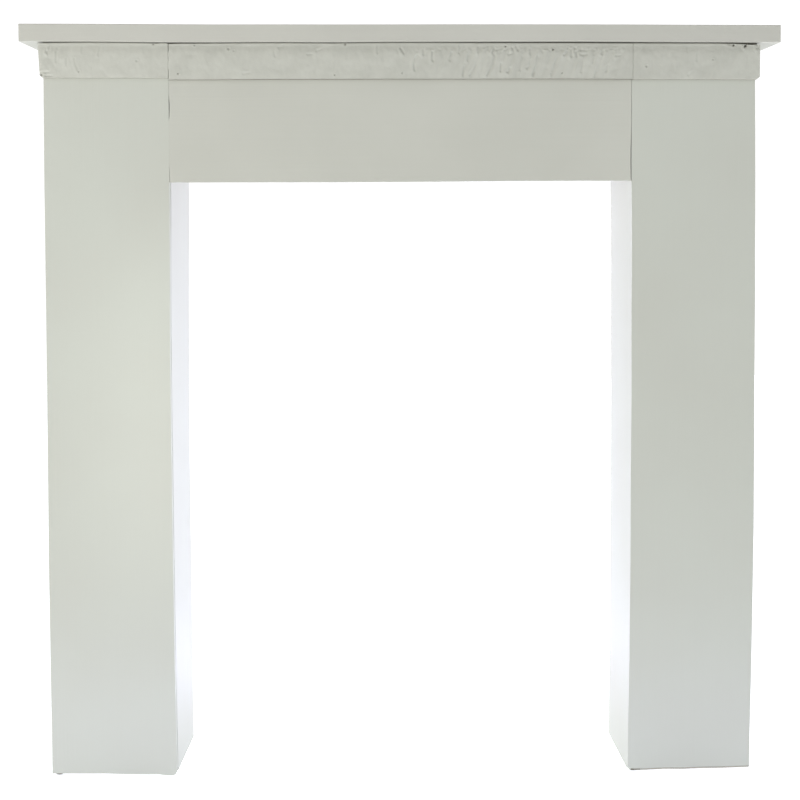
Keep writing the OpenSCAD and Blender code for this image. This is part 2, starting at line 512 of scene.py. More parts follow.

# %% [markdown]
# ## Shelf
#
# The shelf is one thick board, brushed along its length, which has sagged a little between its
# supports. Its underside is painted only where it overhangs: over the hollow legs and behind the
# header it is bare. Cutting the board along those lines gives faces that can take the timber
# instead. The paint on the underside is darkened by painted shade, more of it towards the frieze,
# so the board is also cut along the lines where that painted shade changes.

# %% How the shelf sags and how much painted shade lies under it
# (place along in mm, how far the board's surface lies below true there, in mm)
SHELF_TOP_DIP = [(-480, 0.0), (-380, 0.5), (-290, 0.95), (-190, 0.7), (-20, 0.6), (80, 0.3),
                 (350, 0.3), (440, 0.7), (560, 0.9)]
SHELF_FOOT_DIP = [(-573, 1.5), (-530, 1.5), (-470, 1.3), (-380, 2.2), (-290, 2.3), (-195, 1.75),
                  (-105, 2.15), (-15, 1.3), (80, 1.2), (170, 0.85), (260, 0.75), (350, 1.2),
                  (440, 1.6), (490, 1.6), (515, 1.7), (530, 2.1), (573, 1.9)]

# (distance back from the shelf's front in mm, share of painted shade on its underside there)
SHELF_SHADE = [(0, 0.32), (6, 0.42), (11, 0.5), (15, 0.55), (20, 0.6)]
# Painted shade on the thin arris just above the underside
ARRIS_SHADE = 0.12
# Distances behind the frieze's face where the painted shade on the underside changes
SHADE_LINES = (-5 * MM, -1 * MM, 3 * MM)
# How far past the legs' outer lines the painted shade reaches at full strength, and where it ends
SHADE_MARGIN, SHADE_FADE = 2 * MM, 5 * MM
print(f"sag of the top: up to {max(dip for _, dip in SHELF_TOP_DIP)} mm")

# %% Shelf
UNDERSIDE_ARRIS, TOP_ARRIS = 0.25 * MM, 0.7 * MM
leg_line = -leg_low.x
# Heights that tell its underside, the arris above that, the clean front and the upper arrises
underside_z, arris_z = shelf_low.z + 0.1 * MM, shelf_low.z + 0.5 * MM
clean_z, upper_z = shelf_low.z + 1.2 * MM, shelf_low.z + 2 * MM

shape = merged_copy("mantel_shelf")
soften(shape, sharp_edges(shape, below=upper_z), UNDERSIDE_ARRIS)
soften(shape, sharp_edges(shape, above=upper_z), TOP_ARRIS)
cut_into_lengths(shape, axis=0, step=24 * MM)
for line in (-leg_line, leg_line, leg_line + SHADE_FADE, -leg_line - SHADE_FADE):
    cut_at(shape, 0, line)
cut_at(shape, 2, clean_z)
for line in [frieze_low.y + behind for behind in SHADE_LINES] + [face_y, header_high.y]:
    cut_at(shape, 1, line)
for face in shape.faces:
    middle = face.calc_center_median()
    over_hollow = abs(middle.x) < leg_line and middle.y > header_high.y
    if (face.normal.z < -0.9 and over_hollow) or face.normal.y > 0.9:
        face.material_index = BARE
# Painted shade under the shelf, deeper towards the frieze, and a little on the arris above it
dust_and_shade = shape.verts.layers.float.new("dust_and_shade")
for vertex in shape.verts:
    if abs(vertex.co.x) < leg_line + SHADE_MARGIN:
        if vertex.co.z < underside_z:
            vertex[dust_and_shade] = between(SHELF_SHADE, (vertex.co.y - shelf_low.y) / MM)
        elif vertex.co.z < arris_z:
            vertex[dust_and_shade] = ARRIS_SHADE
weather(shape, amount=0.2 * MM, spacing=90 * MM, seed=1.0)
for vertex in shape.verts:
    share = (vertex.co.z - shelf_low.z) / (shelf_high.z - shelf_low.z)
    along = vertex.co.x / MM
    dip = share * between(SHELF_TOP_DIP, along) + (1 - share) * between(SHELF_FOOT_DIP, along)
    vertex.co.z -= dip * MM
add_piece(shape, "worn_shelf", "mantel_shelf", "shelf_paint", shelf_paint, level_softwood)

# %% [markdown]
# ## How the legs have bent
#
# Each leg is a hollow box with no back: a front board, and a return board on each side. The
# boards have bowed by a few millimetres, and the returns splay towards the wall. Bending the
# whole leg with a lattice would be quick, but one board's two edges bend differently, so each
# edge has its own stops and what lies between the edges follows both.
#
# The lower ends are uneven too. A lump of old paint hangs below the left leg near its inner
# corner, and the right leg's inner corner is chipped.

# %% Bowed edges
# Each leg's upright edges, as (height in mm, how far the edge lies to the right of true, in mm).
LEFT_OUTER_BOW = [(62, 0.7), (132, 0.2), (172, 0.2), (252, 0.0), (322, -0.3), (382, 0.0),
                  (622, 0.8), (932, 1.1), (1062, 1.9)]
LEFT_INNER_BOW = [(0, 4.2), (24, 4.2), (85, 3.3), (147, 2.6), (272, 1.7), (392, 0.9),
                  (582, 0.2), (702, 0.0), (762, 0.5), (892, 1.5), (1127, 1.5)]
RIGHT_INNER_BOW = [(22, -1.0), (85, -0.7), (147, 0.2), (332, 0.9), (462, 0.6), (582, 0.9),
                   (702, 0.1), (822, 0.0), (892, -0.9), (932, -1.9), (1070, -2.0), (1127, -1.0)]
RIGHT_OUTER_BOW = [(7, 0.0), (70, 0.3), (132, 1.2), (252, 2.2), (382, 2.8), (502, 2.3),
                   (622, 1.3), (752, 0.8), (812, 0.0), (872, -0.2), (992, -1.5), (1062, -2.6),
                   (1075, -2.6), (1110, -0.6)]

# (place along in mm, how far the leg's lower edge is above true there, in mm)
LEFT_FOOT_RISE = [(-541, 1.0), (-507, 0.9), (-492, 0.8), (-461, 0.5), (-430, -1.0),
                  (-403, -1.6), (-380, -1.7), (-373, -2.6), (-367, -3.6), (-360, -3.6),
                  (-356, -2.8), (-352, -1.6)]
RIGHT_FOOT_RISE = [(352, 2.4), (357, -0.6), (364, -1.2), (372, -1.25), (380, -1.3), (409, -0.4),
                   (439, -1.1), (470, -0.5), (500, -0.9), (541, -0.4)]
# (height in mm, how far the return's wall edge is splayed to the right there, in mm)
LEFT_SPLAY = [(60, 0.0), (230, 1.0), (480, 1.0), (600, 1.6), (700, 2.2), (1125, 3.6)]
RIGHT_SPLAY = [(60, 0.0), (230, -0.8), (480, -1.0), (650, -1.6), (1125, -2.2)]


def bow(shape, inner_stops, outer_stops, splay_stops):
    """Bend a leg's board: its edges follow the stops, and what is between them follows both."""
    inner, outer = -leg_high.x, -leg_low.x
    for vertex in shape.verts:
        share = (abs(vertex.co.x) - inner) / (outer - inner)
        height = vertex.co.z / MM
        shift = (1 - share) * between(inner_stops, height) + share * between(outer_stops, height)
        depth_share = max(0.0, (vertex.co.y - header_high.y) / (wall_y - header_high.y))
        vertex.co.x += (shift + depth_share * between(splay_stops, height)) * MM


for edge_name, stops in (("left outer", LEFT_OUTER_BOW), ("left inner", LEFT_INNER_BOW),
                         ("right inner", RIGHT_INNER_BOW), ("right outer", RIGHT_OUTER_BOW)):
    print(f"{edge_name} edge: up to {max(abs(value) for _, value in stops)} mm out of true")

# %% [markdown]
# ## Painted shadow under the frieze's foot
#
# The frieze stands proud of the boards, so a soft painted shadow darkens them just below it, and
# what little shows of them above it, through the crack, is painted shade all over. The first is a
# darkening that fades over a few millimetres, which needs vertices close together there, so the
# boards are cut across at the heights below. The second is a band of faces with a painted-shade
# material of its own.

# %% Painted shadow below the frieze
# How dark the painted shadow below the frieze is on the left leg, the right leg and the header
LEFT_LEG_SHADOW, RIGHT_LEG_SHADOW, HEADER_SHADOW = 0.08, 0.18, 0.2
SHADOW_REACH = 2.6
SHADOW_CUTS = (7 * MM, 4 * MM, 2 * MM, 0.0, -2 * MM)
behind_frieze_z = frieze_high.z - 6 * MM


def cut_below_frieze(shape):
    """Cut a board where the frieze's foot crosses it and where its top band of painted shade
    starts.
    """
    for drop in SHADOW_CUTS:
        cut_at(shape, 2, frieze_low.z - drop)
    cut_at(shape, 2, behind_frieze_z)


def shade_below_frieze(shape, most):
    """Give a board the soft painted shadow just below the frieze."""
    dust_and_shade = shape.verts.layers.float.new("dust_and_shade")
    for vertex in shape.verts:
        below = (frieze_low.z - vertex.co.z) / MM
        vertex[dust_and_shade] = most * math.exp(-(max(0.0, below) / SHADOW_REACH) ** 2)


print(f"painted shadow fades over {SHADOW_REACH} mm below {frieze_low.z / MM:.0f} mm")

# %% [markdown]
# ## Leg boards
#
# The fronts hide the returns' front edges, so only the front boards have the worn corners that
# show. The outer faces are painted and the ones that look into the hollow are bare. The right
# leg's front has a chamfer along its foot, painted at the inner end and darkened further out by
# painted shadow, and the left leg's inner foot corner is rounded by the lump of paint on it.

# %% Edges of the feet
NEAR = 0.1 * MM
FOOT_BAND = 10 * MM


def is_left_inner_foot(edge):
    """If an edge is the left front board's inner foot corner."""
    return all(abs(vert.co.x - leg_high.x) < NEAR and abs(vert.co.z - leg_low.z) < NEAR
               for vert in edge.verts)


def is_front_foot(edge):
    """If an edge is a front board's lower front arris."""
    return all(vert.co.z < FOOT_BAND and vert.co.y < face_y + 1 * MM for vert in edge.verts)


print(f"a leg's foot is its lowest {FOOT_BAND / MM:.0f} mm")


# %% Leg boards
FOOT_CHAMFER, FOOT_LUMP, BOARD_ARRIS = 3 * MM, 5 * MM, 0.3 * MM
# Right leg's foot chamfer: paint up to the first place, dark painted shadow to the second, faint
# beyond
PAINTED_FOOT_END, SHADOWED_FOOT_END = 357 * MM, 372 * MM


def leg_board(node, bare_side, seed):
    """A board of a leg: bare_side is -1 or 1 if its left or right side is unpainted, or 0."""
    shape = merged_copy(node)
    if node == "left_leg_front":
        soften(shape, [edge for edge in shape.edges if is_left_inner_foot(edge)], FOOT_LUMP, 4)
    if node == "right_leg_front":
        foot = [edge for edge in sharp_edges(shape) if is_front_foot(edge)]
        worn = bmesh.ops.bevel(shape, geom=foot, offset=FOOT_CHAMFER, offset_type="OFFSET",
                               segments=1, profile=0.5, affect="EDGES", material=-1)
        for face in worn["faces"]:
            face.material_index = SECOND_SHADE
    soften(shape, sharp_edges(shape), BOARD_ARRIS)
    cut_into_lengths(shape, axis=2, step=22 * MM)
    foot_rise = [(0, 0.0)]
    if node.endswith("_front"):
        cut_below_frieze(shape)
        foot_rise = LEFT_FOOT_RISE if node.startswith("left") else RIGHT_FOOT_RISE
        for along, _ in foot_rise[1:-1]:
            cut_at(shape, 0, along * MM)
    # The top band behind the frieze, seen through the crack, takes painted shade; the foot chamfer
    # painted shadow
    for face in shape.faces:
        middle = face.calc_center_median()
        if face.normal.y > 0.9 or bare_side * face.normal.x > 0.9:
            face.material_index = BARE
        elif middle.z > behind_frieze_z:
            face.material_index = SHADE_SLOT
        elif face.material_index == SECOND_SHADE and middle.x < PAINTED_FOOT_END:
            face.material_index = PAINTED
        elif face.material_index == SECOND_SHADE and middle.x < SHADOWED_FOOT_END:
            face.material_index = SHADE_SLOT
    weather(shape, amount=0.3 * MM, spacing=120 * MM, seed=seed)
    for vertex in shape.verts:
        if vertex.co.z < leg_low.z + FOOT_BAND:
            vertex.co.z += between(foot_rise, vertex.co.x / MM) * MM
    if node.startswith("left"):
        bow(shape, LEFT_INNER_BOW, LEFT_OUTER_BOW, LEFT_SPLAY)
    else:
        bow(shape, RIGHT_INNER_BOW, RIGHT_OUTER_BOW, RIGHT_SPLAY)
    if node.endswith("_front"):
        shade_below_frieze(shape, LEFT_LEG_SHADOW if node.startswith("left") else RIGHT_LEG_SHADOW)
    timber = left_softwood if node.startswith("left") else right_softwood
    return add_piece(shape, "worn_" + node, node, "leg_paint", leg_paint, timber, ledge_shade,
                     faint_shade)


# %% The six leg boards
leg_board("left_leg_front", 0, 2.0)
leg_board("right_leg_front", 0, 3.0)
leg_board("left_leg_outer_return", 1, 4.0)
leg_board("left_leg_inner_return", -1, 5.0)
leg_board("right_leg_inner_return", 1, 6.0)
leg_board("right_leg_outer_return", -1, 7.0)

# %% [markdown]
# ## Header panel and its seams
#
# The header panel fits between the legs. Its two end joints were once flush and painted over, but
# the timber has moved and the paint has cracked: in places the joint is still bridged, in others it
# gapes, and there is a chip in the left one. Cutting slots would leave every gap the same width, so
# the ends of the panel are drawn in instead, by a width that changes with height.

# %% Header seams
# (height in mm, width of the open seam in mm)
LEFT_SEAM = [(916, 0.25), (930, 0.12), (938, 0.0), (941, -0.2), (1008, -0.2), (1014, 0.35),
             (1022, 0.8), (1036, 0.9), (1042, 0.3), (1048, 0.0), (1070, -0.05), (1127, 0.1)]
RIGHT_SEAM = [(916, 0.45), (919, 0.7), (946, 0.9), (965, 0.95), (975, 0.75), (990, 0.5),
              (1000, 0.25), (1012, 0.2), (1020, 0.4), (1030, 0.25), (1070, 0.25), (1127, 0.3)]
CAD_SEAM = (header_low.x - leg_high.x) / MM

# (place along in mm, how far the lower edge is above true there, in mm)
HEADER_FOOT_RISE = [(-350, -0.3), (-200, -0.2), (-100, -0.1), (0, 0.2), (76, 0.6), (167, 1.3),
                    (260, 1.6), (350, 1.7)]
print(f"the CAD's seams are {CAD_SEAM:.1f} mm wide, and these gape up to"
      f" {max(width for _, width in LEFT_SEAM + RIGHT_SEAM)} mm")

# %% Header panel
shape = merged_copy("header_panel")
soften(shape, shape.edges[:], 0.15 * MM)
cut_into_lengths(shape, axis=2, step=3 * MM)
cut_into_lengths(shape, axis=0, step=30 * MM)
cut_below_frieze(shape)
for vertex in shape.verts:
    height, along = vertex.co.z / MM, vertex.co.x / MM
    if along < header_low.x / MM + 1:
        vertex.co.x += (between(LEFT_SEAM, height) - CAD_SEAM) * MM
        vertex.co.x += between(LEFT_INNER_BOW, height) * MM
    elif along > header_high.x / MM - 1:
        vertex.co.x -= (between(RIGHT_SEAM, height) - CAD_SEAM) * MM
        vertex.co.x += between(RIGHT_INNER_BOW, height) * MM
    if height < header_low.z / MM + 1:
        vertex.co.z += between(HEADER_FOOT_RISE, along) * MM
shape.normal_update()
# The panel's ends in the open joints take dark painted shade, and its band behind the frieze
# painted shade
for face in shape.faces:
    if face.normal.y > 0.9:
        face.material_index = BARE
    elif abs(face.normal.x) > 0.9:
        face.material_index = SECOND_SHADE
    elif face.calc_center_median().z > behind_frieze_z:
        face.material_index = SHADE_SLOT
shade_below_frieze(shape, HEADER_SHADOW)
add_piece(shape, "worn_header_panel", "header_panel", "header_paint", header_paint,
          level_softwood, ledge_shade, joint_shade)

# %% [markdown]
# ## Frieze
#
# The frieze began as a moulding with a pattern of leaning strokes. Coat after coat of paint has
# filled it, so what is left is a soft, lumpy band with shallow leaning strokes on the right of the
# middle, a few hooked ends near the top, faint streaks on the caps, and pin-holes where the
# moulding was nailed. Relief this fine is geometry here, not a bump, so that it is still there
# from the side: the front of each strip is a grid with cells of 1 mm, and each of its points is
# pushed in by a depth that adds up the lumps, the strokes and the holes near it.

# %% Marks left in the frieze
# Strokes: depth in mm, then the points it runs through, as (along, up) in mm.
STROKES = [
    (0.7, (141, 1117), (139, 1110), (142, 1105), (139, 1093), (131, 1077)),
    (0.5, (207, 1105), (205, 1093), (200, 1079)),
    (0.5, (196, 1098), (195, 1091), (191, 1087)),
    (0.6, (196, 1116), (196, 1109)),
    (0.5, (202, 1081), (200, 1076)),
    (0.6, (169, 1118), (170, 1111), (166, 1108), (163, 1108)),
    (0.5, (174, 1120), (178, 1114)),
    (0.6, (165, 1087), (163, 1081), (161, 1082)),
    (0.6, (152, 1094), (151, 1083)),
    (0.6, (117, 1119), (117, 1111)),
    (0.6, (102, 1106), (101, 1099)),
    (0.6, (96, 1089), (94, 1077)),
    (0.5, (113, 1092), (104, 1077)),
    (0.7, (89, 1119), (88, 1110)),
    (0.6, (77, 1110), (74, 1099)),
    (0.7, (48, 1111), (48, 1099)),
    (0.6, (34, 1114), (34, 1108)),
    (0.6, (25, 1106), (22, 1102), (20, 1093), (21, 1084)),
    (0.7, (0, 1117), (4, 1110)),
    (0.6, (253, 1117), (251, 1110), (247, 1107)),
    (0.8, (259, 1115), (258, 1105)),
    (0.6, (264, 1117), (263, 1112)),
    (0.6, (266, 1111), (266, 1105)),
    (0.6, (281, 1108), (276, 1107), (272, 1108)),
    (0.5, (292, 1102), (291, 1096)),
    (0.5, (275, 1091), (273, 1082)),
    (0.5, (296, 1082), (294, 1075)),
    (0.6, (306, 1114), (304, 1109)),
    (0.5, (332, 1106), (326, 1106)),
    (0.5, (314, 1091), (311, 1083)),
    (0.5, (236, 1102), (232, 1091), (228, 1077)),
    (0.4, (184, 1105), (180, 1085)),
    (0.3, (-518, 1111), (-519, 1097)),
    (0.2, (-503, 1101), (-503, 1092)),
    (0.3, (-491, 1101), (-490, 1093), (-486, 1084)),
    (0.2, (-479, 1118), (-480, 1111)),
    (0.3, (-452, 1118), (-455, 1107)),
    (0.3, (449, 1108), (449, 1099)),
    (0.3, (434, 1119), (434, 1112)),
    (0.3, (441, 1081), (436, 1077)),
    (0.3, (-191, 1111), (-190, 1105)),
    (0.4, (-177, 1120), (-184, 1118)),
    (0.4, (-35, 1120), (-35, 1110)),
    (0.3, (-119, 1116), (-127, 1113)),
    (0.3, (-134, 1108), (-141, 1108)),
    (0.3, (-229, 1080), (-238, 1079)),
    (0.6, (-529, 1119), (-529, 1113), (-532, 1110), (-533, 1112)),
    (0.45, (-545, 1080), (-531, 1081)),
    (0.6, (-535, 1075), (-527, 1075)),
    (0.9, (539, 1123), (542, 1121), (542, 1118), (540, 1117)),
    (1.3, (524, 1125), (521, 1120)),
    (0.5, (496, 1124), (503, 1123), (504, 1121)),
]
# Pin-holes and nail-holes: depth and radius in mm, then its place
HOLES = [
    (1.4, 1.1, (-336, 1079)), (0.9, 1.6, (-260, 1116)), (0.5, 1.0, (-252, 1113)),
    (1.4, 1.0, (-100, 1077)), (1.9, 1.1, (158, 1120)), (1.9, 1.2, (230, 1115)),
    (0.6, 1.0, (227, 1079)), (1.5, 1.0, (244, 1080)), (0.5, 1.4, (-398, 1098)),
    (0.6, 1.3, (-485, 1082)), (0.9, 1.4, (372, 1090)), (0.8, 1.1, (473, 1100)),
    (1.2, 1.0, (-311, 1121)), (0.8, 1.2, (2, 1080)), (1.6, 2.2, (-542, 1076)),
    (1.3, 1.6, (-373, 1123)), (1.3, 1.7, (-84, 1123)), (2.0, 1.6, (504, 1122)),
    (2.2, 1.8, (522, 1121)),
]
print(len(STROKES), "strokes and", len(HOLES), "holes")

# %% [markdown]
# ## How deep a mark is
#
# A brush or a nail leaves no vertical sides in paint, so each mark's depth falls off smoothly with
# the distance from it. A stroke has a soft lip of paint along its left side, where the brush
# pushed it, and a hole has a low ring round it.

# %% Depth of the marks
def distance_to_run(x, z, points):
    """How far (x, z) is from a run of points, and how far to its right side."""
    nearest = 1e9
    side = 0.0
    for (x1, z1), (x2, z2) in zip(points, points[1:]):
        run_x, run_z = x2 - x1, z2 - z1
        length2 = run_x * run_x + run_z * run_z
        t = min(1.0, max(0.0, ((x - x1) * run_x + (z - z1) * run_z) / length2))
        away_x, away_z = x - x1 - t * run_x, z - z1 - t * run_z
        away = math.hypot(away_x, away_z)
        if away < nearest:
            nearest = away
            side = away_x
    return nearest, side


# Half widths, in mm, of a groove, of the lip of paint on its left and of the ring round a hole,
# how far from the groove the lip stands, and how far from a stroke or a hole its marks reach
GROOVE, LIP, RING, LIP_AWAY = 1.6, 2.0, 0.9, 3.4
STROKE_REACH, HOLE_REACH = 8, 5


def carved_depth(x, z):
    """Depths in mm of the strokes and of the holes at a point (in mm)."""
    stroke, hole = 0.0, 0.0
    for deep, *points in STROKES:
        first, last = min(p[0] for p in points), max(p[0] for p in points)
        if first - STROKE_REACH < x < last + STROKE_REACH:
            away, side = distance_to_run(x, z, points)
            stroke += 1.3 * deep * math.exp(-(away / GROOVE) ** 2)
            if side < 0:
                stroke -= 0.7 * deep * math.exp(-((away - LIP_AWAY) / LIP) ** 2)
    for deep, radius, (hole_x, hole_z) in HOLES:
        if abs(x - hole_x) < HOLE_REACH and abs(z - hole_z) < HOLE_REACH:
            away = math.hypot(x - hole_x, z - hole_z)
            hole += deep * math.exp(-(away / radius) ** 4)
            hole -= 0.25 * math.exp(-((away - 2.2 * radius) / RING) ** 2)
    return stroke, hole


print(f"the first stroke is {carved_depth(*STROKES[0][1])[0]:.2f} mm deep at its top")

# %% [markdown]
# ## Paint in the hollows
#
# The frieze has the same eggshell paint as the boards, but a brush dabbed into a moulding leaves
# no streaks. It leaves small dabs and patches, so this paint has a finer bump in every direction
# and patches about 22 mm across. Dust and painted shade in the hollows, and painted shade under
# the shelf, along the foot and towards the right end, come from the same attribute again.

# %% Paint in the hollows
CLOTTED_PATCH, DAB_WIDTH = 22 * MM, 3 * MM


# To the eye: the same low sheen, broken up by dabs, and darker where dust and painted shade lie.
def clogged_paint(name, clean, dulled):
    """Many coats of eggshell paint, darkened by the dust and painted shade that its attribute
    marks.
    """
    material, tree = new_material(name)
    place = add_node(tree, "ShaderNodeTexCoord").outputs["Object"]
    patches = add_node(tree, "ShaderNodeTexNoise",
                       {"Vector": place, "Scale": 1 / CLOTTED_PATCH, "Detail": 3.0})
    dulling = add_node(tree, "ShaderNodeMapRange",
                       {"Value": patches.outputs["Fac"], "From Min": 0.35, "From Max": 0.65})
    tone = add_node(tree, "ShaderNodeMix",
                    {"Factor": dulling.outputs["Result"], "A": linear_colour(clean),
                     "B": linear_colour(dulled)}, data_type="RGBA")
    # Dust and painted shade: the paint is mixed towards the dark colour wherever the attribute says
    held = add_node(tree, "ShaderNodeAttribute", attribute_name="dust_and_shade")
    dusted_and_shaded = add_node(tree, "ShaderNodeMix",
                      {"Factor": held.outputs["Fac"], "A": tone.outputs["Result"],
                       "B": linear_colour(SHADE_AND_DUST_COLOUR)}, data_type="RGBA")
    dabs = add_node(tree, "ShaderNodeTexNoise",
                    {"Vector": place, "Scale": 1 / DAB_WIDTH, "Detail": 3.0})
    bumps = add_node(tree, "ShaderNodeBump",
                     {"Height": dabs.outputs["Fac"], "Strength": 0.4, "Distance": 0.3 * MM})
    surface = add_node(tree, "ShaderNodeBsdfPrincipled",
                       {"Base Color": dusted_and_shaded.outputs["Result"], "Roughness": 0.5, "IOR": 1.48,
                        "Normal": bumps.outputs["Normal"]})
    add_node(tree, "ShaderNodeOutputMaterial", {"Surface": surface.outputs["BSDF"]})
    return material


frieze_paint = clogged_paint("clogged eggshell paint on the frieze", "#BDBEB4", "#B7B8AE")
print("frieze's paint mixed:", frieze_paint.name)

# %% [markdown]
# ## A strip to carve
#
# Cutting a CAD strip finely enough for the relief would slice its back and sides as finely too.
# So each strip starts as a flat grid of 1 mm cells, stood up on its front plane, and its rim is
# drawn back to give it plain sides. A strip's corner can then be cut off with one plane.

# %% Frieze strips
CELL = 1 * MM


def close_holes(shape):
    """Fill what is open, and turn every face outwards."""
    open_edges = [edge for edge in shape.edges if edge.is_boundary]
    bmesh.ops.holes_fill(shape, edges=open_edges, sides=0)
    bmesh.ops.recalc_face_normals(shape, faces=shape.faces[:])


def frieze_strip(low, high):
    """A strip with a front grid of 1 mm cells, plain sides and a softened front rim."""
    width, height = high.x - low.x, high.z - low.z
    shape = bmesh.new()
    bmesh.ops.create_grid(shape, x_segments=round(width / CELL),
                          y_segments=round(height / CELL), size=0.5)
    stand_up = Matrix.Rotation(math.pi / 2, 4, "X")
    size = Matrix.Diagonal((width, 1.0, height, 1.0))
    place = Matrix.Translation(((low.x + high.x) / 2, low.y, (low.z + high.z) / 2))
    bmesh.ops.transform(shape, matrix=place @ size @ stand_up, verts=shape.verts)
    rim = [edge for edge in shape.edges if edge.is_boundary]
    sides = bmesh.ops.extrude_edge_only(shape, edges=rim)
    moved = [item for item in sides["geom"] if isinstance(item, bmesh.types.BMVert)]
    bmesh.ops.translate(shape, verts=moved, vec=(0.0, high.y - low.y, 0.0))
    close_holes(shape)
    soften(shape, rim, 0.6 * MM)
    return shape


def cut_corner(shape, point, direction):
    """Cut away what lies on the side of a plane that direction points to."""
    bmesh.ops.bisect_plane(shape, geom=shape.verts[:] + shape.edges[:] + shape.faces[:],
                           dist=0.001 * MM, plane_co=point, plane_no=direction,
                           clear_outer=True)
    close_holes(shape)


print(f"a strip as long as the centre one has {round((frieze_high.x - frieze_low.x) / CELL)}"
      " cells along it")

# %% [markdown]
# ## Relief
#
# The face is pushed back from its foremost plane by a depth worked out for each point: soft lumps
# and dabs of paint, a bead along the top, a hollow under it, and what is left of the pattern, a
# row of leaning strokes with hooked ends. An image could drive a Displace modifier to the same
# end, but a function needs no image and can also say how much dust each hollow holds.
#
# The strips' tops follow the shelf, so that the crack between them has its own width all along:
# wide at the right end, narrow over the left of the middle, and pinched beside the left seam.

# %% Crack above the frieze
# (along in mm, height of the crack above it in mm)
CRACK = [(-546, 1.0), (-525, 0.85), (-500, 0.5), (-450, 0.28), (-400, 0.33), (-376, 0.55),
         (-368, 1.0), (-362, 0.3), (-354, 0.3), (-350, 1.4), (-330, 1.0), (-285, 0.72),
         (-195, 0.42), (-105, 0.55), (-15, 0.42), (75, 0.5), (120, 0.85), (165, 1.05),
         (255, 1.15), (345, 1.2), (354, 0.95), (435, 0.8), (480, 0.85), (500, 1.3), (515, 1.7),
         (530, 2.3), (546, 2.4)]
CAD_CRACK = (shelf_low.z - frieze_high.z) / MM
print(f"the CAD's crack is {CAD_CRACK:.0f} mm high, and this one"
      f" {min(height for _, height in CRACK)} to {max(height for _, height in CRACK)} mm")


# %% Relief
BASE_DEPTH = 0.8
# (place along in mm, share of the pattern that still shows there)
PATTERN_SHARE = [(-20, 0.0), (60, 0.5), (120, 1.0), (330, 1.0), (350, 0.2)]
STROKES_APART, STROKE_LEAN, MIDDLE_Z = 13.5, 0.36, 1092


def relief_depth(x, z):
    """Depth in mm of the frieze's face behind its foremost plane, at a point in mm."""
    # A noise's divisors are its spacing, and a hump's two numbers are how far below the top it
    # lies and its half width, all in mm.
    below_top = frieze_high.z / MM - z
    lumps = 0.30 * noise.noise(Vector((x / 19, 5.0, z / 14)))
    dabs = 0.22 * noise.noise(Vector((x / 6, 9.0, z / 8)))
    bead = -0.5 * math.exp(-((below_top - 1.5) / 2.2) ** 2)
    hollow = 0.3 * math.exp(-((below_top - 8.0) / 5.0) ** 2)
    pattern = between(PATTERN_SHARE, x)
    turns = (x - STROKE_LEAN * (z - MIDDLE_Z)) / STROKES_APART
    turns += 0.5 * noise.noise(Vector((x / 30, 1.0, 4.0)))
    waves = 0.28 * math.sin(2 * math.pi * turns) * pattern * min(1.0, below_top / 14)
    hooks = 0.0
    if below_top < 17:
        hooks = 0.9 * pattern * noise.noise(Vector((x / 4.5, 3.0, z / 4.0)))
        hooks *= math.exp(-((below_top - 9.5) / 4.5) ** 2)
    return BASE_DEPTH + lumps + dabs + bead + hollow + waves + hooks


print(f"depth of the face at the middle: {relief_depth(0.0, MIDDLE_Z):.2f} mm")


# %% Dust and painted shade on the frieze
# (place along in mm, a little more painted shade towards the right)
RIGHTWARD_SHADE = [(-350, 0.0), (-340, 0.03), (100, 0.05), (350, 0.05), (560, 0.02)]
# How far each way from the middle the frieze's foot has painted shade, in mm
SHADED_FOOT_REACH = 352


def frieze_dust_and_shade(x, z, depth, stroke, hole):
    """How dark a point of the frieze is made, from 0 to 1, by painted shade and dust."""
    # Painted shade under the shelf, towards the right and along the foot; dust and painted shade in
    # hollows
    below_top = frieze_high.z / MM - z
    shade_under_shelf = 0.15 * math.exp(-(below_top / 13) ** 2)
    shade_to_right = between(RIGHTWARD_SHADE, x)
    foot = 0.0
    if abs(x) < SHADED_FOOT_REACH:
        foot = 0.22 * math.exp(-((z - frieze_low.z / MM) / 1.2) ** 2)
    hollow = 0.12 * max(0.0, depth - BASE_DEPTH) + 0.07 * max(0.0, stroke) + 0.4 * max(0.0, hole)
    return min(1.0, shade_under_shelf + shade_to_right + foot + hollow)


print(f"a hole 1 mm deep holds {frieze_dust_and_shade(0.0, MIDDLE_Z, BASE_DEPTH, 0.0, 1.0):.2f} of full dust and shade")

# %% [markdown]
# ## The three lengths of frieze
#
# The middle length sits between the legs, and a cap runs over each leg and a little past it. Each
# end follows the leg that it meets, the caps have their lower outer corners cut off, and the
# joints gape or are bridged with paint just as the header's are.

# %% Ends, feet and seams of the frieze
# (place along in mm, how far the lower edge is above true there, in mm)
LEFT_CAP_FOOT = [(-546, 1.4), (-465, 1.4), (-353, 1.0)]
CENTRE_FOOT = [(-352, -1.6), (-287, -1.4), (-195, -0.6), (-105, -0.5), (-15, -0.2), (75, -0.2),
               (165, 0.1), (255, 0.2), (345, -0.3)]
RIGHT_CAP_FOOT = [(354, -0.5), (435, -0.5), (525, -0.8)]
# (height in mm, width of the open seam in mm)
LEFT_FRIEZE_SEAM = [(1071, 0.25), (1073, 0.5), (1084, 0.45), (1087, 0.0), (1096, -0.1),
                    (1099, 0.35), (1104, 0.35), (1106, -0.1), (1111, -0.1), (1113, 0.6),
                    (1127, 1.0)]
RIGHT_FRIEZE_SEAM = [(1071, 0.15), (1100, 0.08), (1114, 0.1), (1120, 0.25), (1125, 0.35)]
# How far the right joint, and the right cap's outer end, lie to the right of true, in mm
RIGHT_FRIEZE_SHIFT, RIGHT_END_SHIFT = -1.0, -1.0
# How far into a strip a change at its ends, its foot or its top reaches
END_REACH, FOOT_REACH, TOP_REACH = 12 * MM, 8 * MM, 4 * MM
